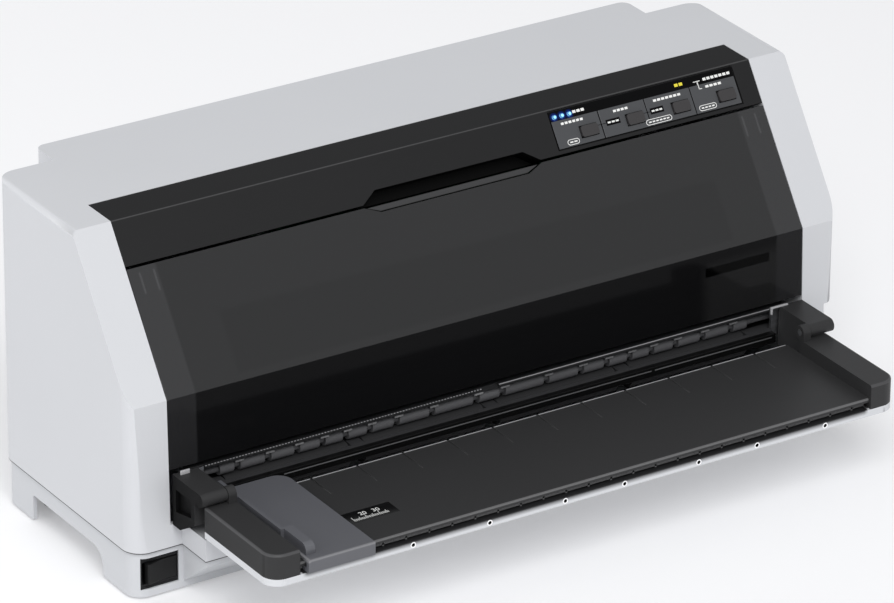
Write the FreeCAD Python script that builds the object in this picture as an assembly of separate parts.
import FreeCAD, Part
import math
import os

os.makedirs("parts", exist_ok=True)

# Dot matrix printer with a flat sheet tray in front. Millimetres.
# x runs across the carriage travel, y goes from the front face to the rear, z up from the table.
# Pieces are drawn with y counted from the front face, and moved at the end so that
# the origin is on the table under the middle of the whole printer.

# Housing
body_width = 480.0
body_height = 205.3
body_depth = 150.9
bulge_depth = 21.8
bulge_inset = 38.0
part_line = 29.4
slope_drop = 85.7
bend_setback = 3.1
ridge_setback = 62.8
corner_radius = 12.0
top_edge_radius = 3.5
bulge_radius = 6.0
wall = 3.0
column_width = 24.8
column_wall = 2.5
strip_rear = 88.3
sill_reach = 25.8
sill_top = 43.5
sill_margin = 7.2
sill_wall = 2.5
overrun = 5.0

# Knob recess in the right hand side
recess_depth = 9.0
recess_length = 60.0
recess_top = 67.5
recess_wall = 2.5

# Rear openings
exit_margin = 7.5
exit_bottom = 55.0
exit_top = 74.0
port_height = 13.0
port_bottom = 92.0
wide_port_width = 58.0
wide_port_x = 60.0
small_port_width = 13.0
small_port_x = 120.0
inlet_width = 28.0
inlet_height = 21.0
inlet_margin = 38.5
inlet_bottom = 86.0
inlet_depth = 20.0
inlet_lip = 2.0
inlet_flange = 1.2
port_depth = 22.0
port_lip = 1.6

# Base
base_inset = 1.5
base_wall = 2.5
base_bottom = 1.5
floor_top = 21.0
floor_thickness = 3.0
arch_front = 36.0
arch_rear_inset = 34.4
arch_height = 17.4
arch_radius = 12.0
arch_sharp_radius = 1.5
undercut_top = 25.4
undercut_bottom = 5.6
foot_radius = 9.0
foot_sides = 20
foot_height = 4.5
foot_inset = 26.0
foot_front_y = 26.0
foot_rear_inset = 19.9
foot_post_half = 10.5

# Power switch at the left front corner of the base
switch_inset = 18.5
switch_width = 24.0
switch_bottom = 6.3
switch_height = 19.4
switch_depth = 14.0
switch_recess = 2.6
switch_case_front = 7.0
switch_rim = 1.4
switch_rim_depth = 3.0
rocker_width = 19.6
rocker_height = 13.0
rocker_lift = 3.4
rocker_thickness = 4.0
rocker_tilt = 7.0
rocker_pivot_depth = 9.0
rocker_pin_radius = 1.2

# Black strip over the upper edge, with the finger recess
strip_slope = 26.84
strip_thickness = 3.0
strip_side_gap = 0.25
finger_half_top = 50.0
finger_half_seam = 60.0
finger_rise = 7.0
finger_depth = 11.0
finger_wall = 1.6

# Control panel on the strip
panel_margin = 13.1
panel_pitch = 32.05
panel_low = 2.6
panel_cell_high = 19.4
panel_high = 25.4
panel_pocket = 1.4
panel_thickness = 0.7
cell_thickness = 0.6
cell_gap = 0.7
panel_edge = 0.6
button_width = 11.5
button_length = 6.6
button_offset = 22.9
button_high = 9.6
button_rise = 1.4
button_gap = 0.3
button_collar = 1.2
button_collar_width = 1.5
button_round = 1.6
lamp_radius = 1.4
lamp_sides = 12
lamp_first = 3.4
lamp_pitch = 5.15
lamp_high = 21.8
lamp_rise = 0.4
board_drop = 7.8
board_thickness = 1.6
hanger_gap = 0.6
tact_size = 6.0
tact_height = 2.2
hanger_width = 4.0

# Front cover
cover_thickness = 2.5
cover_top_gap = 1.6
cover_side_gap = 0.45
cover_bottom = 77.0
cover_pivot_y = 8.0
cover_pivot_z = 83.0
cover_ear_thickness = 2.6
cover_ear_radius = 6.0
cover_pin_radius = 2.5
cover_rib_depth = 5.0
cover_rib_width = 2.0
cover_rib_inset = 8.0
running_gap = 0.05
finger_drop = 4.4

# Front sheet tray
tray_margin = 4.4
tray_front = 100.6
tray_rear = 29.7
rail_width = 18.8
rail_top = 66.5
tray_bottom = 47.3
tray_split = 51.5
deck_top = 58.0
deck_thickness = 2.5
deck_rear = 16.5
deck_lip = 1.6
deck_slot = 9.0
deck_slot_top = 55.0
tray_corner_radius = 10.0
rail_wall = 2.4
shell_wall = 2.2
shell_floor = 2.0
rib_count = 11
rib_shift = 17.5
rib_width = 1.0
rib_depth = 0.6
rib_length = 22.0
slot_rib_width = 1.2
slot_rib_count = 25
shell_hole_radius = 1.1
shell_hole_sides = 12
shell_hole_xs = (-119.0, -68.7, -18.4, 21.6, 72.2, 112.4, 160.0)
shell_hole_height = 49.6

# Tray hinge
hinge_y = -29.0
hinge_z = 71.0
barrel_radius = 4.0
block_margin = 1.3
block_width = 16.4
block_front = 23.7
block_shoulder = 67.0
block_foot = 8.0
block_knee = 53.0
block_recess = 3.0
block_recess_margin = 3.4
tray_gap = 0.3
tray_ear_radius = 4.3
tray_pin_radius = 2.0
tray_pin_depth = 11.0

# Edge guide
guide_margin = 3.6
guide_width = 43.0
guide_rear = 6.0
guide_overhang = 2.9
guide_plate = 1.9
guide_lift = 0.3
guide_fence = 2.2
guide_fence_short = 29.5
guide_tab_width = 6.0
guide_tab_short = 31.5
guide_tab_inset = 6.5
guide_front_wall = 2.4
guide_hook_bottom = 52.4
guide_hook = 2.0
guide_round = 9.0

# Side frames
frame_margin = 11.7
frame_sheet = 2.0
frame_front = 3.3
frame_low_front = 4.3
frame_step = 20.0
frame_top = 118.0
frame_rear_inset = 10.9
frame_neck = 73.8
flange_width = 12.4
flange_front = 1.2
flange_bottom = 52.4
frame_foot = 12.0
frame_window_margin = 14.0

# Paper path
path_z = 60.0
feed_radius = 8.0
feed_rise = 0.6
feed_front_y = 10.0
feed_shaft_radius = 3.0
pinch_radius = 4.0
pinch_shaft_radius = 2.0
nip = 0.4
roller_margin = 22.0
roller_gap = 10.25
roller_count = 12
sleeve_count = 4
# pinch rollers of the front row, by shares of half the space between the frames:
# the middle roller, then each one beside it, mirrored on the other side
middle_roller_share = 0.0334
roller_shares = ((0.0550, 0.1818), (0.2015, 0.2983), (0.3189, 0.3867), (0.4064, 0.4658),
                 (0.4850, 0.5410), (0.5602, 0.6236), (0.6432, 0.7170), (0.7376, 0.8157),
                 (0.8354, 0.8816))
roller_sides = 12
guide_sheet = 2.0
guide_lip_front = 4.3
guide_lip_drop = 4.0
guide_sheet_inset = 9.7
window_gap = 1.0
platen_front = 48.0
platen_rear = 62.0
platen_bottom = 54.0
platen_rise = 0.2
platen_gap = 0.5

# Beams that carry the pinch rollers
beam_bottom = 70.2
beam_top = 73.6
beam_front = 3.8
beam_rear = 18.0
hanger_length = 5.5
hanger_front = 4.0
tear_edge = 1.0
tear_margin = 11.5
tear_left_end = -12.0
tear_right_start = 3.0
tear_tooth_pitch = 4.0
tear_tooth_depth = 1.4
rear_beam_half = 9.0

# Gear train on the right side frame
tooth_module = 1.0
roller_teeth = 16
idler_teeth = 28
pinion_teeth = 10
gear_width = 6.0
gear_gap = 1.5
root_share = 1.15
tip_share = 0.85
root_width_share = 0.36
tip_width_share = 0.11
stud_radius = 2.5
pinion_drop = 16.0
pinion_shaft_radius = 1.5
feed_motor_radius = 14.0
motor_sides = 20
feed_motor_length = 34.0
motor_bore_depth = 8.0
hub_length = 1.2
hub_radius = 5.0
shaft_end = 0.6

# Paper feed knob
knob_radius = 12.5
knob_start_gap = 0.6
knob_side_gap = 0.6
knob_ridges = 24
knob_ridge_depth = 0.9
knob_ridge_share = 0.3
knob_valley_share = 0.42
knob_dish_radius = 8.0
knob_dish_depth = 1.5

# Print head carriage
shaft_y = 88.0
shaft_z = 84.0
shaft_radius = 6.0
carriage_half = 30.0
carriage_rest = 53.5
carriage_front = 34.0
carriage_bottom = 70.0
carriage_plate = 4.0
carriage_block_front = 78.0
carriage_block_rear = 98.0
carriage_block_top = 98.0
carriage_lip_top = 90.0
carriage_lip = 3.0
tongue_front = 22.0
tongue_bottom = 82.8
tongue_top = 88.0
tongue_half = 12.0
rail_front = 26.0
rail_sheet = 2.0
rail_bottom = 64.0
rail_height = 18.6
rail_foot = 8.0
slot_gap = 0.4
head_half = 20.0
head_front = 38.0
head_rear = 74.0
head_top = 111.0
head_base = 84.0
head_neck_half = 9.0
head_neck_front = 48.0
head_neck_rear = 62.0
nose_half = 4.0
nose_front = 51.0
nose_rear = 59.0
nose_bottom = 61.9
nose_top = 76.0
fin_count = 6
fin_thickness = 2.0
fin_depth = 5.0

# Ribbon cartridge and ribbon
cartridge_margin = 9.5
cartridge_bottom = 115.0
cartridge_top = 132.0
cartridge_front = 34.0
cartridge_rear = 92.0
cartridge_arm = 10.0
cartridge_arm_front = 46.0
cartridge_arm_rear = 64.0
cartridge_arm_bottom = 60.9
cartridge_radius = 8.0
cartridge_lid = 1.5
cartridge_lid_inset = 3.0
ribbon_width = 12.7
ribbon_thickness = 0.3
ribbon_z = 61.2
ribbon_knob_inset = 74.0
ribbon_knob_radius = 9.0
ribbon_knob_height = 6.0
ribbon_knob_stem = 3.0
ribbon_knob_gap = 0.4

# Carriage drive
pulley_inset = 20.5
pulley_y = 112.0
pulley_radius = 7.8
pulley_sides = 16
pulley_flange_radius = 9.8
pulley_flange = 0.7
belt_gap = 0.3
belt_thickness = 1.2
belt_bottom = 91.0
belt_height = 5.0
clamp_half = 8.0
clamp_rear = 107.0
clamp_bottom = 89.0
crossbeam_bottom = 99.4
crossbeam_sheet = 2.0
crossbeam_front = 96.0
crossbeam_inset = 18.9
crossbeam_lip = 8.0
carriage_motor_radius = 18.0
carriage_motor_height = 38.0
motor_face = 2.0
motor_boss_radius = 5.0
drive_shaft_radius = 2.0

# Electronics
board_length = 250.0
board_margin = 15.5
board_bottom = 84.0
board_ceiling = 15.3
board_setback = 25.7
supply_margin = 13.5
supply_length = 108.0
supply_bottom = 112.0
supply_ceiling = 21.3
supply_setback = 38.7
post_half = 3.0
post_inset = 6.0
screw_radius = 3.0
screw_sides = 12
screw_head = 1.8
screw_inset = 14.0

# Worked out from the sizes above
half_width = body_width / 2
rear_end = body_depth + bulge_depth
guide_reach = tray_front + guide_overhang
guide_fence_end = guide_reach - guide_fence_short
guide_tab_start = guide_reach - guide_tab_short
guide_tab_end = guide_reach - guide_tab_inset
middle_y = (rear_end - guide_reach) / 2
board_y = rear_end - board_setback
supply_front = rear_end - supply_setback
guide_sheet_rear = rear_end - guide_sheet_inset
foot_rear_y = body_depth - foot_rear_inset
arch_rear = body_depth - arch_rear_inset
frame_rear = body_depth - frame_rear_inset
crossbeam_rear = body_depth - crossbeam_inset
opening_half = half_width - column_width
sill_half_width = opening_half - sill_margin
foot_x = half_width - foot_inset
switch_x = switch_inset - half_width
bend_height = body_height - slope_drop
slope_run = ridge_setback - bend_setback
slope_rise = body_height - bend_height
slope_length = math.hypot(slope_run, slope_rise)
up_y = slope_run / slope_length
up_z = slope_rise / slope_length
seam = slope_length - strip_slope
panel_bottom = seam + panel_low
panel_cell_top = seam + panel_cell_high
panel_top = seam + panel_high
button_centre = seam + button_high
lamp_height = seam + lamp_high
panel_left = opening_half - panel_margin - 4 * panel_pitch
tray_half_width = opening_half - tray_margin
rail_inner = tray_half_width - rail_width
block_outer = opening_half - block_margin
block_inner = block_outer - block_width
guide_left = guide_margin - rail_inner
frame_inner = opening_half - frame_margin
frame_outer = frame_inner + frame_sheet
gear_start = frame_outer + gear_gap
exit_half_width = frame_inner - exit_margin
inlet_x = inlet_margin - frame_inner
tear_right_end = frame_inner - tear_margin
tear_left = -tear_right_end
roller_pitch = 2 * (frame_inner - roller_margin) / roller_count
sleeve_pitch = roller_pitch * roller_count / sleeve_count
sleeve_length = sleeve_pitch - roller_gap
rib_pitch = roller_pitch
slot_rib_pitch = rib_pitch / 2
carriage_rest_x = carriage_rest - frame_inner
cartridge_half = frame_inner - cartridge_margin
ribbon_knob_x = ribbon_knob_inset - cartridge_half
pulley_x = frame_inner - pulley_inset
board_x_right = frame_inner - board_margin
board_x_left = board_x_right - board_length
board_top = body_height - board_ceiling
supply_left = supply_margin - frame_inner
supply_right = supply_left + supply_length
supply_top = body_height - supply_ceiling
feed_z = path_z + feed_rise - feed_radius
pinch_z = feed_z + feed_radius + nip + pinch_radius
roller_gear_radius = tooth_module * roller_teeth / 2
idler_radius = tooth_module * idler_teeth / 2
pinion_radius = tooth_module * pinion_teeth / 2
knob_y = feed_front_y + roller_gear_radius + idler_radius
idler_b_y = knob_y + 2 * idler_radius
idler_c_y = idler_b_y + 2 * idler_radius
feed_rear_y = idler_c_y + idler_radius + roller_gear_radius
pinion_reach = idler_radius + pinion_radius
pinion_shift = math.sqrt(pinion_reach ** 2 - pinion_drop ** 2)
pinion_y = idler_b_y + pinion_shift
pinion_z = feed_z - pinion_drop
recess_floor = half_width - recess_depth
belt_inner = pulley_radius + belt_gap
belt_outer = belt_inner + belt_thickness

ACROSS = FreeCAD.Vector(1, 0, 0)
UP = FreeCAD.Vector(0, 0, 1)
BACK = FreeCAD.Vector(0, 1, 0)


def point(x, y, z):
    return FreeCAD.Vector(x, y, z)


def block(x0, x1, y0, y1, z0, z1):
    return Part.makeBox(x1 - x0, y1 - y0, z1 - z0, point(x0, y0, z0))


def rounded_face(corners):
    # corners: (position, radius) in order round a flat outline
    edges = []
    starts, ends = [], []
    count = len(corners)
    for i, (here, radius) in enumerate(corners):
        before = (corners[i - 1][0] - here).normalize()
        after = (corners[(i + 1) % count][0] - here).normalize()
        if radius == 0:
            starts.append(here)
            ends.append(here)
            continue
        half = before.getAngle(after) / 2
        reach = radius / math.tan(half)
        middle = (before + after).normalize() * (radius / math.sin(half) - radius)
        starts.append(here + before * reach)
        ends.append(here + after * reach)
        edges.append((i, Part.Arc(starts[i], here + middle, ends[i]).toShape()))
    for i in range(count):
        following = starts[(i + 1) % count]
        if (following - ends[i]).Length > 0:
            edges.append((i + 0.5, Part.makeLine(ends[i], following)))
    edges.sort(key=lambda item: item[0])
    return Part.Face(Part.Wire([edge for _, edge in edges]))


def side_bar(corners, x0, x1):
    # an outline seen from the side, (y, z) or (y, z, radius), run across from x0 to x1
    face = rounded_face([(point(x0, c[0], c[1]), c[2] if len(c) > 2 else 0) for c in corners])
    return face.extrude(point(x1 - x0, 0, 0))


def plan_bar(corners, z0, z1):
    # an outline seen from above, (x, y) or (x, y, radius), run up from z0 to z1
    face = rounded_face([(point(c[0], c[1], z0), c[2] if len(c) > 2 else 0) for c in corners])
    return face.extrude(point(0, 0, z1 - z0))


def rod(radius, x0, x1, y, z):
    return Part.makeCylinder(radius, x1 - x0, point(x0, y, z), ACROSS)


def post(radius, x, y, z0, z1):
    return Part.makeCylinder(radius, z1 - z0, point(x, y, z0), UP)


def few_sided(radius, sides, start, end):
    # a small round form that repeats, with flats in place of its curve
    axis = (end - start).normalize()
    first = axis.cross(ACROSS if axis.x == 0 else UP).normalize() * radius
    second = axis.cross(first)
    turns = [2 * math.pi * i / sides for i in range(sides)]
    corners = [start + first * math.cos(turn) + second * math.sin(turn) for turn in turns]
    return Part.Face(Part.makePolygon(corners + corners[:1])).extrude(end - start)


def fused(shapes):
    whole = shapes[0]
    for shape in shapes[1:]:
        whole = whole.fuse(shape)
    return whole.removeSplitter()


def mirrored(shape):
    return shape.mirror(point(0, 0, 0), ACROSS)


def on_slope(x, s, out):
    # s goes up the sloping face from its lower bend, out is square to it
    return point(x, bend_setback + s * up_y - out * up_z, bend_height + s * up_z + out * up_y)


def slope_plate(corners, low, high):
    # an outline on the sloping face, (x, s) or (x, s, radius), between two depths
    face = rounded_face([(on_slope(c[0], c[1], low), c[2] if len(c) > 2 else 0) for c in corners])
    return face.extrude(point(0, -up_z, up_y) * (high - low))


def slope_rectangle(x0, x1, s0, s1, low, high, radius=0):
    corners = [(x0, s0, radius), (x1, s0, radius), (x1, s1, radius), (x0, s1, radius)]
    return slope_plate(corners, low, high)


def slope_yz(s, out):
    place = on_slope(0, s, out)
    return (place.y, place.z)


def save(node, shape):
    placed = shape.copy()
    placed.translate(point(0, -middle_y, 0))
    placed.exportStep("parts/" + node + ".step")


def body_outline(inset, bulge_rear):
    # plan of the housing, with the bulge across the rear
    side = half_width - inset
    step = half_width - bulge_inset - inset
    rear = body_depth - inset
    return [
        (-side, inset, corner_radius - inset),
        (side, inset, corner_radius - inset),
        (side, rear, corner_radius - inset),
        (step, rear),
        (step, bulge_rear, bulge_radius),
        (-step, bulge_rear, bulge_radius),
        (-step, rear),
        (-side, rear, corner_radius - inset),
    ]


def body_form(inset, bottom):
    # the housing's outer form, or the space inside it for a positive inset
    plan = plan_bar(body_outline(inset, rear_end - inset), bottom, body_height - inset)
    lean = math.atan2(slope_rise, slope_run)
    low_turn = inset * math.tan((math.pi / 2 - lean) / 2)
    top_turn = inset * math.tan(lean / 2)
    side = side_bar(
        [
            (inset, bottom),
            (bend_setback + inset, bend_height - low_turn),
            (ridge_setback + top_turn, body_height - inset),
            (rear_end + overrun, body_height - inset),
            (rear_end + overrun, bottom),
        ],
        -half_width,
        half_width,
    )
    radius = top_edge_radius
    ends = [
        (point(-half_width + inset, 0, bottom), 0),
        (point(half_width - inset, 0, bottom), 0),
        (point(half_width - inset, 0, body_height - inset), radius),
        (point(-half_width + inset, 0, body_height - inset), radius),
    ]
    front = rounded_face(ends).extrude(point(0, rear_end + overrun, 0))
    return plan.common(side).common(front)


def upper_housing():
    outer = body_form(0, part_line)
    inner = body_form(wall, part_line - overrun)
    shell = outer.cut(inner)
    opening = block(-opening_half, opening_half, -overrun, strip_rear,
                    sill_top, body_height + overrun)
    shell = shell.cut(opening)
    liner = block(opening_half, opening_half + column_wall, 0, strip_rear + column_wall,
                  part_line, body_height)
    liner = liner.common(outer)
    sill = block(-sill_half_width, sill_half_width, -sill_reach, wall, part_line, sill_top)
    sill_hollow = block(-sill_half_width + sill_wall, sill_half_width - sill_wall,
                        -sill_reach + sill_wall, wall + overrun,
                        part_line - overrun, sill_top - sill_wall)
    pocket = block(recess_floor - recess_wall, half_width, 0, recess_length + recess_wall,
                   part_line, recess_top + recess_wall).common(outer)
    shell = fused([shell, liner, mirrored(liner), sill, pocket])
    recess = block(recess_floor, half_width + overrun, -overrun, recess_length,
                   part_line - overrun, recess_top)
    shell = shell.cut(recess).cut(sill_hollow)
    # rear openings: paper exit, two signal sockets and the mains inlet
    rear = rear_end - wall - overrun
    past = rear_end + overrun
    shell = shell.cut(block(-exit_half_width, exit_half_width, rear, past, exit_bottom, exit_top))
    for centre, width in ((wide_port_x, wide_port_width), (small_port_x, small_port_width)):
        shell = shell.cut(block(centre - width / 2, centre + width / 2, rear, past,
                                port_bottom, port_bottom + port_height))
    shell = shell.cut(block(inlet_x - inlet_width / 2, inlet_x + inlet_width / 2, rear, past,
                            inlet_bottom, inlet_bottom + inlet_height))
    # posts for the main board
    posts = []
    for x in (board_x_left + post_inset, board_x_right - post_inset):
        for z in (board_bottom + post_inset, board_top - post_inset):
            posts.append(block(x - post_half, x + post_half, board_y + board_thickness,
                               rear_end - wall / 2, z - post_half, z + post_half))
    shell = fused([shell] + posts)
    # bores for the cover's pins and for the knob's shaft
    bore = cover_pin_radius + running_gap
    for x in (-opening_half - column_wall - overrun, opening_half - overrun):
        shell = shell.cut(rod(bore, x, x + column_wall + 2 * overrun, cover_pivot_y, cover_pivot_z))
    knob_bore = feed_shaft_radius + running_gap
    shell = shell.cut(rod(knob_bore, opening_half - overrun, recess_floor + overrun, knob_y, feed_z))
    return shell


def base():
    outline = body_outline(base_inset, rear_end - base_inset)
    outer = plan_bar(outline, base_bottom, part_line)
    inner_outline = body_outline(base_inset + base_wall, rear_end - base_inset - base_wall)
    above = plan_bar(inner_outline, floor_top, part_line + overrun)
    below = plan_bar(inner_outline, base_bottom - overrun, floor_top - floor_thickness)
    tub = outer.cut(above).cut(below)
    nose_side = [(base_inset, part_line), (base_inset - sill_reach, part_line),
                 (base_inset - sill_reach, undercut_top), (base_inset, undercut_bottom)]
    nose = side_bar(nose_side, base_inset - sill_half_width, sill_half_width - base_inset)
    slant = (undercut_top - undercut_bottom) / sill_reach
    lift = base_wall * math.hypot(1, slant)
    inside = [(base_inset + base_wall, part_line + overrun),
              (base_inset + base_wall - sill_reach, part_line + overrun),
              (base_inset + base_wall - sill_reach, undercut_top + lift - base_wall * slant),
              (base_inset + base_wall, undercut_bottom + lift + base_wall * slant)]
    reach = sill_half_width - base_inset - base_wall
    nose_hollow = side_bar(inside, -reach, reach)
    arch = side_bar([(arch_front, -overrun), (arch_rear, -overrun),
                     (arch_rear, arch_height, arch_sharp_radius),
                     (arch_front, arch_height, arch_radius)], -half_width, half_width)
    pocket_block = block(switch_x - switch_width / 2 - base_wall,
                         switch_x + switch_width / 2 + base_wall,
                         base_inset, switch_depth + base_wall,
                         switch_bottom - base_wall, part_line)
    pocket_block = pocket_block.common(outer)
    pocket = block(switch_x - switch_width / 2, switch_x + switch_width / 2,
                   -overrun, switch_depth, switch_bottom, switch_bottom + switch_height)
    half = foot_post_half
    posts = [block(x - half, x + half, y - half, y + half, foot_height, floor_top)
             for x in (-foot_x, foot_x) for y in (foot_front_y, foot_rear_y)]
    tub = tub.cut(arch)
    tub = fused([tub, nose] + posts).cut(nose_hollow)
    return fused([tub, pocket_block]).cut(pocket)


def rubber_feet():
    return Part.makeCompound([few_sided(foot_radius, foot_sides, point(x, y, 0),
                                        point(x, y, foot_height))
                              for x in (-foot_x, foot_x) for y in (foot_front_y, foot_rear_y)])


def power_switch():
    # black snap-in case with a raised rim, seated in the base's pocket
    left = switch_x - switch_width / 2
    right = switch_x + switch_width / 2
    top = switch_bottom + switch_height
    case = block(left, right, switch_recess, switch_depth, switch_bottom, top)
    rocker_bottom = switch_bottom + rocker_lift
    gap = running_gap + tray_gap
    reach = rocker_pivot_depth - switch_recess + rocker_thickness / 2
    sway = reach * math.sin(math.radians(rocker_tilt))
    well = block(switch_x - rocker_width / 2 - sway - gap, switch_x + rocker_width / 2 + sway + gap,
                 0, switch_depth - switch_rim,
                 rocker_bottom - gap, rocker_bottom + rocker_height + gap)
    ledge = block(left + switch_rim, right - switch_rim, 0, switch_recess + switch_rim_depth / 2,
                  switch_bottom + switch_rim, rocker_bottom - gap - switch_rim)
    pin = post(rocker_pin_radius, switch_x, rocker_pivot_depth, rocker_bottom - gap - switch_rim,
               rocker_bottom + rocker_height + gap + switch_rim)
    return case.cut(well).cut(ledge).fuse(pin).removeSplitter()


def power_rocker():
    # two flat halves that meet in a shallow V, turned so that the left half is pressed in
    half = rocker_width / 2
    front = switch_recess - rocker_thickness / 2
    drop = half * math.tan(math.radians(rocker_tilt))
    hub = rocker_pin_radius + running_gap
    outline = [(-half, front), (0, front + drop), (half, front),
               (half, front + rocker_thickness), (rocker_thickness, rocker_pivot_depth + hub + switch_rim),
               (-rocker_thickness, rocker_pivot_depth + hub + switch_rim),
               (-half, front + rocker_thickness)]
    bottom = switch_bottom + rocker_lift
    body = plan_bar([(switch_x + x, y) for x, y in outline], bottom, bottom + rocker_height)
    body = body.cut(post(hub, switch_x, rocker_pivot_depth, bottom - overrun,
                         bottom + rocker_height + overrun))
    body.rotate(point(switch_x, rocker_pivot_depth, 0), UP, rocker_tilt)
    return body


def plate_profile(points, thickness):
    # a bent sheet: the given line and the same line moved to its right by the thickness
    count = len(points)
    moved = []
    for i in range(count):
        normals = []
        for a, b in ((i - 1, i), (i, i + 1)):
            if a >= 0 and b < count:
                dy, dz = points[b][0] - points[a][0], points[b][1] - points[a][1]
                size = math.hypot(dy, dz)
                normals.append((dz / size, -dy / size))
        ny = sum(n[0] for n in normals) / len(normals)
        nz = sum(n[1] for n in normals) / len(normals)
        size = ny * ny + nz * nz
        moved.append((points[i][0] + ny / size * thickness, points[i][1] + nz / size * thickness))
    return list(points) + moved[::-1]


def button_places():
    return [panel_left + button_offset + i * panel_pitch for i in range(4)]


def lamp_places():
    return [panel_left + lamp_first + i * lamp_pitch for i in range(3)]


def top_strip():
    line = [slope_yz(seam, 0), (ridge_setback, body_height), (strip_rear - strip_side_gap, body_height)]
    half = opening_half - strip_side_gap
    strip = side_bar(plate_profile(line, strip_thickness), -half, half)
    # finger recess: a scoop with sloping ends, open towards the cover
    scoop = [(-finger_half_seam, seam - finger_depth), (-finger_half_seam, seam),
             (-finger_half_top, seam + finger_rise), (finger_half_top, seam + finger_rise),
             (finger_half_seam, seam), (finger_half_seam, seam - finger_depth)]
    cup_top = seam + finger_rise + finger_wall
    cup_line = [(-finger_half_seam - finger_wall, seam), (-finger_half_top - finger_wall, cup_top),
                (finger_half_top + finger_wall, cup_top), (finger_half_seam + finger_wall, seam)]
    cup = slope_plate(cup_line, -finger_depth - finger_wall, -strip_thickness / 2)
    strip = fused([strip, cup]).cut(slope_plate(scoop, -finger_depth, overrun))
    panel_right = panel_left + 4 * panel_pitch
    strip = strip.cut(slope_rectangle(panel_left - panel_edge, panel_right + panel_edge,
                                      panel_bottom - panel_edge, panel_top + panel_edge,
                                      -panel_pocket, overrun))
    hole_x = button_width / 2 + button_gap
    hole_s = button_length / 2 + button_gap
    for x in button_places():
        strip = strip.cut(slope_rectangle(x - hole_x, x + hole_x, button_centre - hole_s,
                                          button_centre + hole_s, -strip_thickness - overrun, overrun))
    lamps = lamp_places()
    reach = lamp_radius + button_gap
    strip = strip.cut(slope_rectangle(lamps[0] - reach, lamps[-1] + reach, lamp_height - reach,
                                      lamp_height + reach, -strip_thickness - overrun, overrun))
    # hangers that carry the small board behind the buttons
    for x in (panel_left - hanger_gap - hanger_width, panel_right + hanger_gap):
        strip = strip.fuse(slope_rectangle(x, x + hanger_width, panel_bottom, panel_top,
                                           -board_drop, -strip_thickness))
    return strip.removeSplitter()


def control_panel():
    panel_right = panel_left + 4 * panel_pitch
    plate = slope_rectangle(panel_left, panel_right, panel_bottom, panel_top,
                            -panel_pocket, panel_thickness - panel_pocket)
    hole_x = button_width / 2 + button_gap
    hole_s = button_length / 2 + button_gap
    for x in button_places():
        plate = plate.cut(slope_rectangle(x - hole_x, x + hole_x, button_centre - hole_s,
                                          button_centre + hole_s, -overrun, overrun))
    for x in lamp_places():
        plate = plate.cut(few_sided(lamp_radius, lamp_sides, on_slope(x, lamp_height, -overrun),
                                    on_slope(x, lamp_height, overrun)))
    return plate


def panel_cells():
    cells = []
    low = panel_thickness - panel_pocket
    for i, x in enumerate(button_places()):
        left = panel_left + i * panel_pitch + cell_gap / 2
        cell = slope_rectangle(left, left + panel_pitch - cell_gap, panel_bottom + cell_gap / 2,
                               panel_cell_top, low, low + cell_thickness)
        hole_x = button_width / 2 + button_gap
        hole_s = button_length / 2 + button_gap
        cells.append(cell.cut(slope_rectangle(x - hole_x, x + hole_x, button_centre - hole_s,
                                              button_centre + hole_s, -overrun, overrun)))
    return Part.makeCompound(cells)


def button(x):
    low = -strip_thickness - button_gap
    cap = slope_rectangle(x - button_width / 2, x + button_width / 2,
                          button_centre - button_length / 2, button_centre + button_length / 2,
                          low, button_rise, button_round)
    collar = slope_rectangle(x - button_width / 2 - button_collar_width,
                             x + button_width / 2 + button_collar_width,
                             button_centre - button_length / 2 - button_collar_width,
                             button_centre + button_length / 2 + button_collar_width,
                             low - button_collar, low)
    return fused([cap, collar])


def indicator_lenses():
    low = -strip_thickness - button_gap
    return Part.makeCompound([
        few_sided(lamp_radius, lamp_sides, on_slope(x, lamp_height, low),
                  on_slope(x, lamp_height, lamp_rise)) for x in lamp_places()])


def panel_board():
    panel_right = panel_left + 4 * panel_pitch
    high = -board_drop
    margin = hanger_gap + hanger_width
    board = slope_rectangle(panel_left - margin, panel_right + margin,
                            panel_bottom, panel_top, high - board_thickness, high)
    pieces = [board]
    for x in button_places():
        pieces.append(slope_rectangle(x - tact_size / 2, x + tact_size / 2,
                                      button_centre - tact_size / 2, button_centre + tact_size / 2,
                                      high, high + tact_height - button_gap))
    return fused(pieces)


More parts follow.
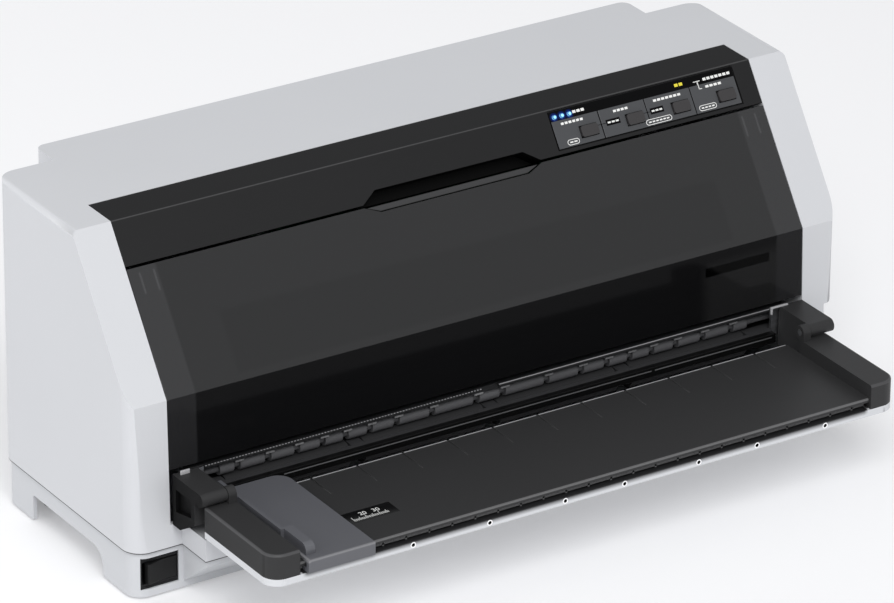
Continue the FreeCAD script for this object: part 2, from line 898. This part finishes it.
def front_cover():
    top = seam - cover_top_gap
    foot = bend_setback * (cover_bottom - part_line) / (bend_height - part_line)
    line = [(foot, cover_bottom), (bend_setback, bend_height), slope_yz(top, 0)]
    half = opening_half - cover_side_gap
    sheet = side_bar(plate_profile(line, cover_thickness), -half, half)
    notch = [(-finger_half_seam, top + overrun), (-finger_half_seam, top),
             (-finger_half_top, top - finger_drop), (finger_half_top, top - finger_drop),
             (finger_half_seam, top), (finger_half_seam, top + overrun)]
    sheet = sheet.cut(slope_plate(notch, -cover_thickness - overrun, overrun))
    # stiffening ribs down both sides, behind the sheet
    rib_line = [(foot + cover_thickness, cover_pivot_z + cover_ear_radius),
                (bend_setback + cover_thickness, bend_height),
                slope_yz(top - cover_rib_inset, -cover_thickness)]
    ribs = []
    for x in (half - cover_rib_inset - cover_rib_width, -half + cover_rib_inset):
        ribs.append(side_bar(plate_profile(rib_line, cover_rib_depth), x, x + cover_rib_width))
    # hinge ears and pins at both lower corners
    ears = []
    for side in (-1, 1):
        outer = side * half
        inner = side * (half - cover_ear_thickness)
        ear = rod(cover_ear_radius, min(outer, inner), max(outer, inner), cover_pivot_y, cover_pivot_z)
        web = block(min(outer, inner), max(outer, inner), foot + cover_thickness / 2, cover_pivot_y,
                    cover_pivot_z - cover_ear_radius, cover_pivot_z + cover_ear_radius)
        pin_end = side * (opening_half + column_wall)
        pin = rod(cover_pin_radius, min(inner, pin_end), max(inner, pin_end),
                  cover_pivot_y, cover_pivot_z)
        ears += [ear, web, pin]
    return fused([sheet] + ribs + ears)


def tray_outline(inset):
    half = tray_half_width - inset
    return [(-half, inset - tray_front, tray_corner_radius - inset),
            (half, inset - tray_front, tray_corner_radius - inset),
            (half, -tray_rear - inset), (-half, -tray_rear - inset)]


def tray_deck():
    ring = plan_bar(tray_outline(0), tray_split, rail_top)
    middle = block(-rail_inner, rail_inner, -tray_front - overrun, -tray_rear + overrun,
                   tray_split - overrun, rail_top + overrun)
    rails = ring.cut(middle)
    hollow = plan_bar(tray_outline(rail_wall), tray_split - overrun, rail_top - rail_wall)
    hollow = hollow.cut(block(-rail_inner - rail_wall, rail_inner + rail_wall,
                              -tray_front, -tray_rear, tray_split - overrun, rail_top))
    rails = rails.cut(hollow)
    deck = block(-rail_inner, rail_inner, deck_lip - tray_front, -deck_rear,
                 deck_top - deck_thickness, deck_top)
    back_wall = block(-rail_inner, rail_inner, deck_lip + deck_slot - tray_front,
                      deck_lip + deck_slot + rail_wall - tray_front, tray_split, deck_top)
    pieces = [rails, deck, back_wall]
    # small ribs in the slot under the deck's front lip
    for i in range(slot_rib_count):
        x = (i - (slot_rib_count - 1) / 2) * slot_rib_pitch
        pieces.append(block(x - slot_rib_width / 2, x + slot_rib_width / 2,
                            deck_lip + guide_hook + 2 * guide_lift - tray_front,
                            deck_lip + deck_slot - tray_front, tray_split, deck_top - deck_thickness))
    # ears that reach up to the hinge
    for side in (-1, 1):
        low = side * rail_inner
        high = side * (block_inner - tray_gap)
        left, right = min(low, high), max(low, high)
        pieces.append(rod(tray_ear_radius, left, right, hinge_y, hinge_z))
        pieces.append(block(left, right, hinge_y - tray_ear_radius, -tray_rear,
                            deck_top - deck_thickness, hinge_z))
    deck = fused(pieces)
    # shallow grooves that run back from the deck's rear edge
    for i in range(rib_count):
        x = rib_shift + (i - (rib_count - 1) / 2) * rib_pitch
        deck = deck.cut(block(x - rib_width / 2, x + rib_width / 2, -deck_rear - rib_length, 0,
                              deck_top - rib_depth, deck_top + overrun))
    bore = tray_pin_radius
    return deck.cut(rod(bore, -block_inner, block_inner, hinge_y, hinge_z))


def tray_shell():
    outer = plan_bar(tray_outline(0), tray_bottom, tray_split)
    inner = plan_bar(tray_outline(shell_wall), tray_bottom + shell_floor, tray_split + overrun)
    shell = outer.cut(inner)
    for x in shell_hole_xs:
        shell = shell.cut(few_sided(shell_hole_radius, shell_hole_sides,
                                    point(x, -tray_front - overrun, shell_hole_height),
                                    point(x, shell_wall - tray_front, shell_hole_height)))
    return shell


def tray_pins():
    pins = []
    for side in (-1, 1):
        inner = side * rail_inner
        outer = side * (block_inner + tray_pin_depth)
        pins.append(rod(tray_pin_radius, min(inner, outer), max(inner, outer), hinge_y, hinge_z))
    return Part.makeCompound(pins)


def hinge_block():
    # right hand block: a foot on the sill, a cheek and the barrel of the tray's hinge
    side = [(0, sill_top), (-block_foot, sill_top), (-block_front, block_knee),
            (-block_front, block_shoulder), (hinge_y, block_shoulder),
            (hinge_y, hinge_z + barrel_radius), (0, hinge_z + barrel_radius)]
    cheek = side_bar(side, block_inner, block_outer)
    barrel = rod(barrel_radius, block_inner, block_outer, hinge_y, hinge_z)
    margin = block_recess_margin
    hollow = side_bar([(-margin, block_knee), (margin - block_front, block_knee + margin),
                       (margin - block_front, block_shoulder), (-margin, block_shoulder)],
                      block_outer - block_recess, block_outer + overrun)
    whole = fused([cheek, barrel]).cut(hollow)
    reach = tray_pin_depth + tray_gap
    return whole.cut(rod(tray_pin_radius + running_gap, block_inner - overrun, block_inner + reach,
                         hinge_y, hinge_z))


def edge_guide():
    low = deck_top + guide_lift
    high = low + guide_plate
    right = guide_left + guide_width
    plate = plan_bar([(guide_left, -guide_rear), (guide_left, -guide_reach),
                      (right, -guide_reach), (right, -guide_rear, guide_round)], low, high)
    front = block(guide_left, right, -guide_reach, guide_front_wall - guide_reach,
                  guide_hook_bottom, high)
    hook = block(guide_left, right, -guide_reach, deck_lip + guide_hook - tray_front,
                 guide_hook_bottom, guide_hook_bottom + guide_front_wall)
    fence = block(guide_left, guide_left + guide_fence, -guide_fence_end, -guide_rear,
                  low, rail_top)
    tab = side_bar([(-guide_tab_end, low), (-guide_tab_start, low),
                    (-guide_tab_start, rail_top, guide_fence), (-guide_tab_end, rail_top, guide_round / 2)],
                   guide_left + guide_fence, guide_left + guide_fence + guide_tab_width)
    bridge = block(guide_left, guide_left + guide_fence + guide_tab_width, -guide_fence_end,
                   -guide_tab_start, low, rail_top)
    return fused([plate, front, hook, fence, tab, bridge])


def paper_guide():
    low = path_z - guide_sheet
    sheet = block(-frame_inner, frame_inner, -guide_lip_front, guide_sheet_rear, low, path_z)
    lip = block(-frame_inner, frame_inner, -guide_lip_front, guide_sheet - guide_lip_front,
                low - guide_lip_drop, path_z)
    sheet = fused([sheet, lip])
    for side in (-1, 1):
        edge = side * (frame_inner - flange_width + frame_sheet)
        far = side * (frame_inner + overrun)
        sheet = sheet.cut(block(min(edge, far), max(edge, far), -guide_lip_front - overrun,
                                frame_front + frame_sheet, low - guide_lip_drop - overrun,
                                path_z + overrun))
        narrow = side * (half_width - bulge_inset - wall - slot_gap)
        sheet = sheet.cut(block(min(narrow, far), max(narrow, far), body_depth - wall - slot_gap,
                                rear_end, low - overrun, path_z + overrun))
    reach = math.sqrt(feed_radius ** 2 - (low - feed_z) ** 2) + window_gap
    half = sleeve_length / 2 + window_gap
    for y in (feed_front_y, feed_rear_y):
        for x in sleeve_places():
            sheet = sheet.cut(block(x - half, x + half, y - reach, y + reach,
                                    low - overrun, path_z + overrun))
    return sheet.cut(block(-frame_inner + flange_width, frame_inner - flange_width,
                           platen_front - platen_gap, platen_rear + platen_gap,
                           low - overrun, path_z + overrun))


def roller_spans():
    middle = middle_roller_share * frame_inner
    spans = [(-middle, middle)]
    for near, far in roller_shares:
        spans.append((near * frame_inner, far * frame_inner))
        spans.append((-far * frame_inner, -near * frame_inner))
    return sorted(spans)


def sleeve_places():
    return [(i - (sleeve_count - 1) / 2) * sleeve_pitch for i in range(sleeve_count)]


def sleeve_spans():
    return [(x - sleeve_length / 2, x + sleeve_length / 2) for x in sleeve_places()]


def feed_shaft(y):
    return rod(feed_shaft_radius, -frame_outer, gear_start + gear_width + shaft_end, y, feed_z)


def feed_rubbers(y):
    sleeves = []
    for x in sleeve_places():
        sleeve = rod(feed_radius, x - sleeve_length / 2, x + sleeve_length / 2, y, feed_z)
        sleeves.append(sleeve.cut(rod(feed_shaft_radius, x - sleeve_length, x + sleeve_length,
                                      y, feed_z)))
    return Part.makeCompound(sleeves)


def pinch_roller(y, spans):
    # rollers on one axle, whose round ends turn in the beam's hangers
    end = frame_inner - slot_gap
    neck = frame_inner - hanger_length - window_gap
    pieces = [few_sided(pinch_shaft_radius, roller_sides, point(-neck, y, pinch_z),
                        point(neck, y, pinch_z))]
    for start, stop in spans:
        pieces.append(few_sided(pinch_radius, roller_sides, point(start, y, pinch_z),
                                point(stop, y, pinch_z)))
    pieces.append(rod(pinch_shaft_radius, -end, -neck, y, pinch_z))
    pieces.append(rod(pinch_shaft_radius, neck, end, y, pinch_z))
    return fused(pieces)


def pinch_hangers(y):
    hangers = []
    for side in (-1, 1):
        outer = side * frame_inner
        inner = side * (frame_inner - hanger_length)
        hanger = block(min(inner, outer), max(inner, outer), y - hanger_front, y + hanger_front,
                       path_z + nip + guide_sheet, beam_bottom)
        hangers.append(hanger.cut(rod(pinch_shaft_radius + running_gap, -frame_outer, frame_outer,
                                      y, pinch_z)))
    return hangers


def front_pinch_beam():
    plate = block(-frame_inner, frame_inner, beam_front, beam_rear, beam_bottom, beam_top)
    # toothed tear edge on the left, straight edge on the right
    edge = [(tear_left, beam_front)]
    count = round((tear_left_end - tear_left) / tear_tooth_pitch)
    for i in range(count):
        start = tear_left + i * tear_tooth_pitch
        edge.append((start, tear_edge + tear_tooth_depth))
        edge.append((start + tear_tooth_pitch / 2, tear_edge))
    edge.append((tear_left + count * tear_tooth_pitch, tear_edge + tear_tooth_depth))
    edge.append((tear_left + count * tear_tooth_pitch, beam_front))
    teeth = plan_bar(edge, beam_bottom + guide_sheet, beam_top)
    straight = block(tear_right_start, tear_right_end, tear_edge, beam_front,
                     beam_bottom + guide_sheet, beam_top)
    return fused([plate, teeth, straight] + pinch_hangers(feed_front_y))


def rear_pinch_beam():
    plate = block(-frame_inner, frame_inner, feed_rear_y - rear_beam_half,
                  feed_rear_y + rear_beam_half, beam_bottom, beam_top)
    return fused([plate] + pinch_hangers(feed_rear_y))


def platen():
    return block(-frame_inner, frame_inner, platen_front, platen_rear, platen_bottom,
                 path_z - guide_sheet - platen_gap).fuse(
        block(-frame_inner + flange_width + platen_gap, frame_inner - flange_width - platen_gap,
              platen_front, platen_rear, platen_bottom, path_z + platen_rise)).removeSplitter()


def side_frame(geared):
    # sheet frame with its shaft bores and front flange, and on the right hand one the gear studs
    side = [(frame_low_front, floor_top), (frame_low_front, flange_bottom),
            (frame_front, flange_bottom), (frame_front, frame_neck), (frame_step, frame_neck),
            (frame_step, frame_top, frame_foot), (frame_rear, frame_top, frame_foot),
            (frame_rear, floor_top)]
    sheet = side_bar(side, frame_inner, frame_outer)
    flange = block(frame_outer - flange_width, frame_outer, flange_front, frame_front,
                   flange_bottom, frame_neck)
    foot = block(frame_inner, frame_outer + frame_foot, frame_front + frame_step, frame_rear,
                 floor_top, floor_top + frame_sheet)
    sheet = fused([sheet, flange, foot])
    bores = [(feed_shaft_radius + running_gap, feed_front_y, feed_z),
             (feed_shaft_radius + running_gap, feed_rear_y, feed_z),
             (shaft_radius, shaft_y, shaft_z)]
    if geared:
        bores.append((feed_shaft_radius + running_gap, knob_y, feed_z))
        bores.append((pinion_shaft_radius + slot_gap, pinion_y, pinion_z))
    for radius, y, z in bores:
        sheet = sheet.cut(rod(radius, frame_inner - overrun, frame_outer + overrun, y, z))
    if geared:
        sheet = fused([sheet] + [rod(stud_radius, frame_inner, gear_start + gear_width + shaft_end,
                                     y, feed_z) for y in (idler_b_y, idler_c_y)])
    return sheet


def gear(teeth, x0, y, z, phase, bore):
    # spur gear with straight tooth flanks, from the root to the tip on each side
    pitch = tooth_module * teeth / 2
    root = pitch - tooth_module * root_share
    tip = pitch + tooth_module * tip_share
    step = 2 * math.pi / teeth
    shares = ((root, root_width_share), (tip, tip_width_share))
    points = []
    for i in range(teeth):
        centre = phase + i * step
        for radius, share in shares:
            angle = centre - share * step
            points.append(point(x0, y + radius * math.cos(angle), z + radius * math.sin(angle)))
        for radius, share in reversed(shares):
            angle = centre + share * step
            points.append(point(x0, y + radius * math.cos(angle), z + radius * math.sin(angle)))
    points.append(points[0])
    wheel = Part.Face(Part.makePolygon(points)).extrude(point(gear_width, 0, 0))
    return wheel.cut(rod(bore, x0 - overrun, x0 + gear_width + overrun, y, z))


def meshed_phase(teeth, driver_teeth, driver_phase, direction):
    # turn of a gear whose tooth gap meets a tooth of its driver
    return direction + math.pi + (math.pi - driver_teeth * (driver_phase - direction)) / teeth


def gear_phases():
    front = 0
    knob = meshed_phase(idler_teeth, roller_teeth, front, 0)
    second = meshed_phase(idler_teeth, idler_teeth, knob, 0)
    third = meshed_phase(idler_teeth, idler_teeth, second, 0)
    rear = meshed_phase(roller_teeth, idler_teeth, third, 0)
    towards = math.atan2(-pinion_drop, pinion_shift)
    pinion = meshed_phase(pinion_teeth, idler_teeth, second, towards)
    return front, knob, second, third, rear, pinion


def feed_pinion(phase):
    wheel = gear(pinion_teeth, gear_start, pinion_y, pinion_z, phase, pinion_shaft_radius)
    shaft = rod(pinion_shaft_radius, frame_inner - motor_bore_depth,
                gear_start + gear_width + shaft_end, pinion_y, pinion_z)
    return fused([wheel, shaft])


def feed_motor():
    can = few_sided(feed_motor_radius, motor_sides,
                    point(frame_inner - feed_motor_length, pinion_y, pinion_z),
                    point(frame_inner, pinion_y, pinion_z))
    return can.cut(rod(pinion_shaft_radius + running_gap, frame_inner - motor_bore_depth - slot_gap,
                       frame_inner + overrun, pinion_y, pinion_z))


def paper_knob():
    # ridged knob in the side recess, on the shaft of the first idler gear
    start = recess_floor + knob_start_gap
    end = half_width - knob_side_gap
    valley = knob_radius - knob_ridge_depth
    turn = 2 * math.pi / knob_ridges
    shares = ((valley, -knob_valley_share), (knob_radius, -knob_ridge_share),
              (knob_radius, knob_ridge_share), (valley, knob_valley_share))
    outline = [point(start, knob_y + radius * math.cos((i + share) * turn),
                     feed_z + radius * math.sin((i + share) * turn))
               for i in range(knob_ridges) for radius, share in shares]
    body = Part.Face(Part.makePolygon(outline + outline[:1])).extrude(point(end - start, 0, 0))
    body = body.cut(rod(knob_dish_radius, end - knob_dish_depth, end + overrun, knob_y, feed_z))
    shaft = rod(feed_shaft_radius, frame_inner, start, knob_y, feed_z)
    return fused([body, shaft])


def carriage():
    left = carriage_rest_x - carriage_half
    right = carriage_rest_x + carriage_half
    plate = block(left, right, carriage_front, carriage_block_rear,
                  carriage_bottom, carriage_bottom + carriage_plate)
    lip = block(left, right, carriage_front, carriage_front + carriage_lip,
                carriage_bottom, carriage_lip_top)
    tongue = block(carriage_rest_x - tongue_half, carriage_rest_x + tongue_half,
                   tongue_front, carriage_front + carriage_lip, tongue_bottom - slot_gap - carriage_lip,
                   tongue_top)
    slot = block(left - overrun, right + overrun, rail_front - slot_gap,
                 rail_front + rail_sheet + slot_gap, carriage_bottom - overrun,
                 rail_bottom + rail_height + slot_gap)
    rear = side_bar([(carriage_block_front, carriage_bottom),
                     (carriage_block_rear, carriage_bottom),
                     (carriage_block_rear, carriage_block_top, carriage_lip),
                     (carriage_block_front, carriage_block_top, carriage_lip)], left, right)
    clamp = block(carriage_rest_x - clamp_half, carriage_rest_x + clamp_half, carriage_block_rear,
                  clamp_rear, clamp_bottom, carriage_block_top)
    belt_y = pulley_y - belt_outer
    grip = block(left - overrun, right + overrun, belt_y - belt_gap,
                 belt_y + belt_thickness + belt_gap,
                 belt_bottom - belt_gap, belt_bottom + belt_height + belt_gap)
    body = fused([plate, lip, tongue, rear, clamp]).cut(grip).cut(slot)
    body = body.cut(rod(shaft_radius + running_gap, left - overrun, right + overrun,
                        shaft_y, shaft_z))
    return body.cut(block(carriage_rest_x - head_neck_half, carriage_rest_x + head_neck_half,
                          head_neck_front, head_neck_rear, carriage_bottom - overrun,
                          carriage_bottom + carriage_plate + overrun))


def print_head():
    # finned body on a neck that passes through the carriage, ending in the wire nose
    left = carriage_rest_x - head_half
    right = carriage_rest_x + head_half
    body = block(left, right, head_front, head_rear, head_base, head_top)
    seat = block(left, right, head_front, head_rear, carriage_bottom + carriage_plate, head_base)
    neck = block(carriage_rest_x - head_neck_half, carriage_rest_x + head_neck_half,
                 head_neck_front, head_neck_rear, carriage_bottom, head_base)
    nose = side_bar([(nose_front, nose_bottom), (nose_rear, nose_bottom),
                     (head_neck_rear, nose_top), (head_neck_front, nose_top)],
                    carriage_rest_x - nose_half, carriage_rest_x + nose_half)
    head = fused([body, seat, neck, nose])
    pitch = (head_top - head_base) / fin_count
    for i in range(fin_count):
        low = head_base + (i + 1) * pitch - pitch + fin_thickness
        high = head_base + (i + 1) * pitch
        for x0, x1 in ((left - overrun, left + fin_depth), (right - fin_depth, right + overrun)):
            head = head.cut(block(x0, x1, head_front - overrun, head_rear + overrun, low, high))
    return head


def front_rail():
    web = block(-frame_inner, frame_inner, rail_front, rail_front + rail_sheet,
                rail_bottom, rail_bottom + rail_height)
    foot = block(-frame_inner, frame_inner, rail_front - rail_foot, rail_front + rail_sheet,
                 rail_bottom, rail_bottom + rail_sheet)
    return fused([web, foot])


def ribbon_cartridge():
    top = plan_bar([(-cartridge_half, cartridge_front, cartridge_radius),
                    (cartridge_half, cartridge_front, cartridge_radius),
                    (cartridge_half, cartridge_rear, cartridge_radius),
                    (-cartridge_half, cartridge_rear, cartridge_radius)],
                   cartridge_bottom, cartridge_top)
    half = cartridge_half - cartridge_lid_inset
    front = cartridge_front + cartridge_lid_inset
    rear = cartridge_rear - cartridge_lid_inset
    lid = plan_bar([(-half, front, cartridge_radius), (half, front, cartridge_radius),
                    (half, rear, cartridge_radius), (-half, rear, cartridge_radius)],
                   cartridge_top, cartridge_top + cartridge_lid)
    pieces = [top, lid]
    for side in (-1, 1):
        outer = side * cartridge_half
        inner = side * (cartridge_half - cartridge_arm)
        arm = block(min(outer, inner), max(outer, inner), cartridge_arm_front, cartridge_arm_rear,
                    cartridge_arm_bottom, cartridge_bottom)
        clip_end = side * frame_inner
        clip = block(min(outer, clip_end), max(outer, clip_end), cartridge_arm_front,
                     cartridge_arm_rear, cartridge_bottom - cartridge_lid, cartridge_bottom)
        clip = clip.fuse(block(min(inner, clip_end), max(inner, clip_end), cartridge_arm_front,
                               cartridge_arm_rear, cartridge_bottom, cartridge_bottom + cartridge_lid))
        pieces += [arm, clip]
    cartridge = fused(pieces)
    middle = (cartridge_arm_front + cartridge_arm_rear) / 2
    slit = block(-cartridge_half - overrun, cartridge_half + overrun,
                 middle - ribbon_width / 2, middle + ribbon_width / 2,
                 ribbon_z, ribbon_z + ribbon_thickness)
    cartridge = cartridge.cut(slit)
    centre_y = (cartridge_front + cartridge_rear) / 2
    return cartridge.cut(post(ribbon_knob_stem + running_gap, ribbon_knob_x, centre_y,
                              cartridge_top - overrun, cartridge_top + cartridge_lid + overrun))


def ribbon():
    middle = (cartridge_arm_front + cartridge_arm_rear) / 2
    return block(-cartridge_half, cartridge_half, middle - ribbon_width / 2,
                 middle + ribbon_width / 2, ribbon_z, ribbon_z + ribbon_thickness)


def ribbon_knob():
    # a dished cap with a bar across it for the thumb and finger, on a stem
    centre_y = (cartridge_front + cartridge_rear) / 2
    low = cartridge_top + cartridge_lid + ribbon_knob_gap
    high = low + ribbon_knob_height
    middle = (low + high) / 2
    cap = few_sided(ribbon_knob_radius, pulley_sides, point(ribbon_knob_x, centre_y, low),
                    point(ribbon_knob_x, centre_y, high))
    dish = few_sided(ribbon_knob_radius - ribbon_knob_stem / 2, pulley_sides,
                     point(ribbon_knob_x, centre_y, middle),
                     point(ribbon_knob_x, centre_y, high + overrun))
    bar = block(ribbon_knob_x - ribbon_knob_radius, ribbon_knob_x + ribbon_knob_radius,
                centre_y - ribbon_knob_stem / 2, centre_y + ribbon_knob_stem / 2, middle,
                high + overrun)
    stem = post(ribbon_knob_stem, ribbon_knob_x, centre_y, cartridge_top - overrun + slot_gap, low)
    return fused([cap, stem]).cut(dish.cut(bar))


def carriage_belt():
    def loop(radius, z0, z1):
        straight = block(-pulley_x, pulley_x, pulley_y - radius, pulley_y + radius, z0, z1)
        return fused([straight, post(radius, -pulley_x, pulley_y, z0, z1),
                      post(radius, pulley_x, pulley_y, z0, z1)])
    outer = loop(belt_outer, belt_bottom, belt_bottom + belt_height)
    inner = loop(belt_inner, belt_bottom - overrun, belt_bottom + belt_height + overrun)
    return outer.cut(inner)


def pulley(x):
    low = belt_bottom - belt_gap - pulley_flange
    high = belt_bottom + belt_height + belt_gap + pulley_flange
    discs = [few_sided(radius, pulley_sides, point(x, pulley_y, start), point(x, pulley_y, stop))
             for radius, start, stop in ((pulley_radius, low, high),
                                         (pulley_flange_radius, low, low + pulley_flange),
                                         (pulley_flange_radius, high - pulley_flange, high))]
    return fused(discs), low, high


def drive_pulley():
    wheel, low, high = pulley(-pulley_x)
    shaft = post(drive_shaft_radius, -pulley_x, pulley_y, high,
                 crossbeam_bottom + crossbeam_sheet + motor_bore_depth)
    return fused([wheel, shaft])


def idler_pulley():
    wheel, low, high = pulley(pulley_x)
    return wheel.cut(post(stud_radius + running_gap, pulley_x, pulley_y, low - overrun,
                          high + overrun))


def rear_crossbeam():
    high = crossbeam_bottom + crossbeam_sheet
    plate = block(-frame_inner, frame_inner, crossbeam_front, crossbeam_rear, crossbeam_bottom, high)
    lip = block(-frame_inner, frame_inner, crossbeam_rear - crossbeam_sheet, crossbeam_rear,
                crossbeam_bottom, high + crossbeam_lip)
    low = belt_bottom - belt_gap - pulley_flange
    stud = post(stud_radius, pulley_x, pulley_y, low, crossbeam_bottom)
    plate = fused([plate, lip, stud])
    return plate.cut(post(motor_boss_radius, -pulley_x, pulley_y, crossbeam_bottom - overrun,
                          high + overrun))


def carriage_motor():
    low = crossbeam_bottom + crossbeam_sheet
    can = few_sided(carriage_motor_radius, motor_sides, point(-pulley_x, pulley_y, low),
                    point(-pulley_x, pulley_y, low + carriage_motor_height))
    boss = post(motor_boss_radius, -pulley_x, pulley_y, low - crossbeam_sheet, low)
    return fused([can, boss]).cut(post(drive_shaft_radius + running_gap, -pulley_x, pulley_y,
                                       low - crossbeam_sheet - overrun,
                                       low + motor_bore_depth + slot_gap))


def main_board():
    board = block(board_x_left, board_x_right, board_y, board_y + board_thickness,
                  board_bottom, board_top)
    return board


def signal_ports():
    ports = []
    start = board_y + board_thickness
    for centre, width in ((wide_port_x, wide_port_width), (small_port_x, small_port_width)):
        case = block(centre - width / 2, centre + width / 2, start, rear_end - port_lip,
                     port_bottom, port_bottom + port_height)
        hollow = block(centre - width / 2 + port_lip, centre + width / 2 - port_lip,
                       rear_end - port_depth / 2, rear_end + overrun,
                       port_bottom + port_lip, port_bottom + port_height - port_lip)
        tongue = block(centre - width / 2 + 2 * port_lip, centre + width / 2 - 2 * port_lip,
                       rear_end - port_depth / 2, rear_end - 2 * port_lip,
                       port_bottom + port_height / 2 - port_lip, port_bottom + port_height / 2 + port_lip)
        ports.append(fused([case.cut(hollow), tongue]))
    return Part.makeCompound(ports)


def power_supply():
    return block(supply_left, supply_right, supply_front, rear_end - wall, supply_bottom, supply_top)


def ac_inlet():
    left = inlet_x - inlet_width / 2
    right = inlet_x + inlet_width / 2
    top = inlet_bottom + inlet_height
    case = block(left, right, rear_end - inlet_depth, rear_end - inlet_flange, inlet_bottom, top)
    hollow = block(left + inlet_lip, right - inlet_lip, rear_end - inlet_depth + inlet_lip,
                   rear_end + overrun, inlet_bottom + inlet_lip, top - inlet_lip)
    pins = [block(inlet_x + shift - inlet_flange / 2, inlet_x + shift + inlet_flange / 2,
                  rear_end - inlet_depth + inlet_lip / 2, rear_end - 2 * inlet_lip,
                  inlet_bottom + inlet_height / 2 - inlet_lip, inlet_bottom + inlet_height / 2 + inlet_lip)
            for shift in (-inlet_width / 4, 0, inlet_width / 4)]
    return fused([case.cut(hollow)] + pins)


def case_screws():
    screws = []
    for x in (-exit_half_width, exit_half_width):
        for z in (part_line + screw_inset, body_height - screw_inset):
            screws.append(few_sided(screw_radius, screw_sides,
                                    point(x, rear_end - wall - screw_head, z), point(x, rear_end, z)))
    return Part.makeCompound(screws)


def main():
    housing = upper_housing()
    screws = case_screws()
    save("upper_housing", housing.cut(screws))
    save("case_screws", screws)
    save("base", base())
    save("rubber_feet", rubber_feet())
    save("power_switch", power_switch())
    save("power_rocker", power_rocker())
    save("top_strip", top_strip())
    save("control_panel", control_panel())
    save("panel_cells", panel_cells())
    for name, x in zip(("first", "second", "third", "fourth"), button_places()):
        save("button_" + name, button(x))
    save("indicator_lenses", indicator_lenses())
    save("panel_board", panel_board())
    save("front_cover", front_cover())
    save("tray_deck", tray_deck())
    save("tray_shell", tray_shell())
    save("tray_pins", tray_pins())
    save("hinge_block_right", hinge_block())
    save("hinge_block_left", mirrored(hinge_block()))
    save("edge_guide", edge_guide())
    save("paper_guide", paper_guide())
    save("front_feed_shaft", feed_shaft(feed_front_y))
    save("front_feed_rubbers", feed_rubbers(feed_front_y))
    save("rear_feed_shaft", feed_shaft(feed_rear_y))
    save("rear_feed_rubbers", feed_rubbers(feed_rear_y))
    save("front_pinch_roller", pinch_roller(feed_front_y, roller_spans()))
    save("rear_pinch_roller", pinch_roller(feed_rear_y, sleeve_spans()))
    save("front_pinch_beam", front_pinch_beam())
    save("rear_pinch_beam", rear_pinch_beam())
    save("platen", platen())
    save("side_frame_right", side_frame(True))
    save("side_frame_left", mirrored(side_frame(False)))
    front, knob, second, third, rear, pinion = gear_phases()
    save("front_roller_gear", gear(roller_teeth, gear_start, feed_front_y, feed_z, front, feed_shaft_radius))
    save("knob_gear", gear(idler_teeth, gear_start, knob_y, feed_z, knob, feed_shaft_radius))
    bore = stud_radius + running_gap
    save("middle_gear", gear(idler_teeth, gear_start, idler_b_y, feed_z, second, bore))
    save("third_gear", gear(idler_teeth, gear_start, idler_c_y, feed_z, third, bore))
    save("rear_roller_gear", gear(roller_teeth, gear_start, feed_rear_y, feed_z, rear, feed_shaft_radius))
    save("feed_pinion", feed_pinion(pinion))
    save("feed_motor", feed_motor())
    save("paper_knob", paper_knob())
    save("carriage_shaft", rod(shaft_radius, -frame_outer, frame_outer, shaft_y, shaft_z))
    save("carriage", carriage())
    save("print_head", print_head())
    save("front_rail", front_rail())
    save("ribbon_cartridge", ribbon_cartridge())
    save("ribbon", ribbon())
    save("ribbon_knob", ribbon_knob())
    save("carriage_belt", carriage_belt())
    save("drive_pulley", drive_pulley())
    save("idler_pulley", idler_pulley())
    save("rear_crossbeam", rear_crossbeam())
    save("carriage_motor", carriage_motor())
    save("main_board", main_board())
    save("signal_ports", signal_ports())
    save("power_supply", power_supply())
    save("ac_inlet", ac_inlet())


main()
